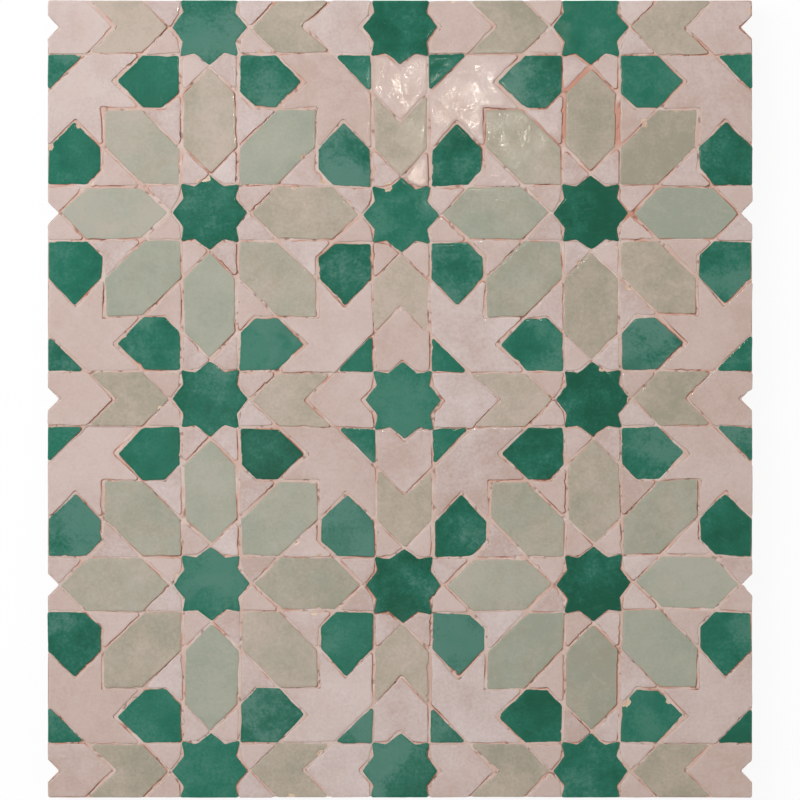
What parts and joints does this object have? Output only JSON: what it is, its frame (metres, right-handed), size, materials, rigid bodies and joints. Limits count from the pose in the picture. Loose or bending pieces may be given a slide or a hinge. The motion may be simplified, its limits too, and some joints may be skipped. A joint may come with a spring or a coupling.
{
  "type": "moroccan zellige mosaic tile panel",
  "caption": "Flat mosaic panel of hand-cut glazed chips in an eight-pointed star pattern, set in a mortar bed with notched side edges.",
  "frame": {"origin": "middle of the panel's flat back, on the surface it lies on", "axes": "+Z out of the glazed face, +Y along the panel's longer side, +X across it; the picture's right is +X and its top is +Y"},
  "size_m": [0.3572, 0.4042, 0.016],
  "materials": {
    "green_glaze": "gloss",
    "sage_glaze": "gloss",
    "pink_glaze": "gloss",
    "mortar": "matte"
  },
  "bodies": {
    "root": {"stars": "green_glaze", "border_stars": "green_glaze", "upright_kites": "green_glaze", "level_kites": "green_glaze", "corner_triangles": "green_glaze", "upright_hexagons": "sage_glaze", "level_hexagons": "sage_glaze", "slanted_hexagons": "sage_glaze", "upright_chevrons": "sage_glaze", "level_chevrons": "sage_glaze", "upright_arrows": "pink_glaze", "level_arrows": "pink_glaze", "upright_darts": "pink_glaze", "level_darts": "pink_glaze", "elbows": "pink_glaze", "hexagon_side_fillers": "pink_glaze", "hexagon_end_fillers": "pink_glaze", "chevron_side_fillers": "pink_glaze", "chevron_end_fillers": "pink_glaze", "mortar_bed": "mortar"}
  },
  "joints": []
}
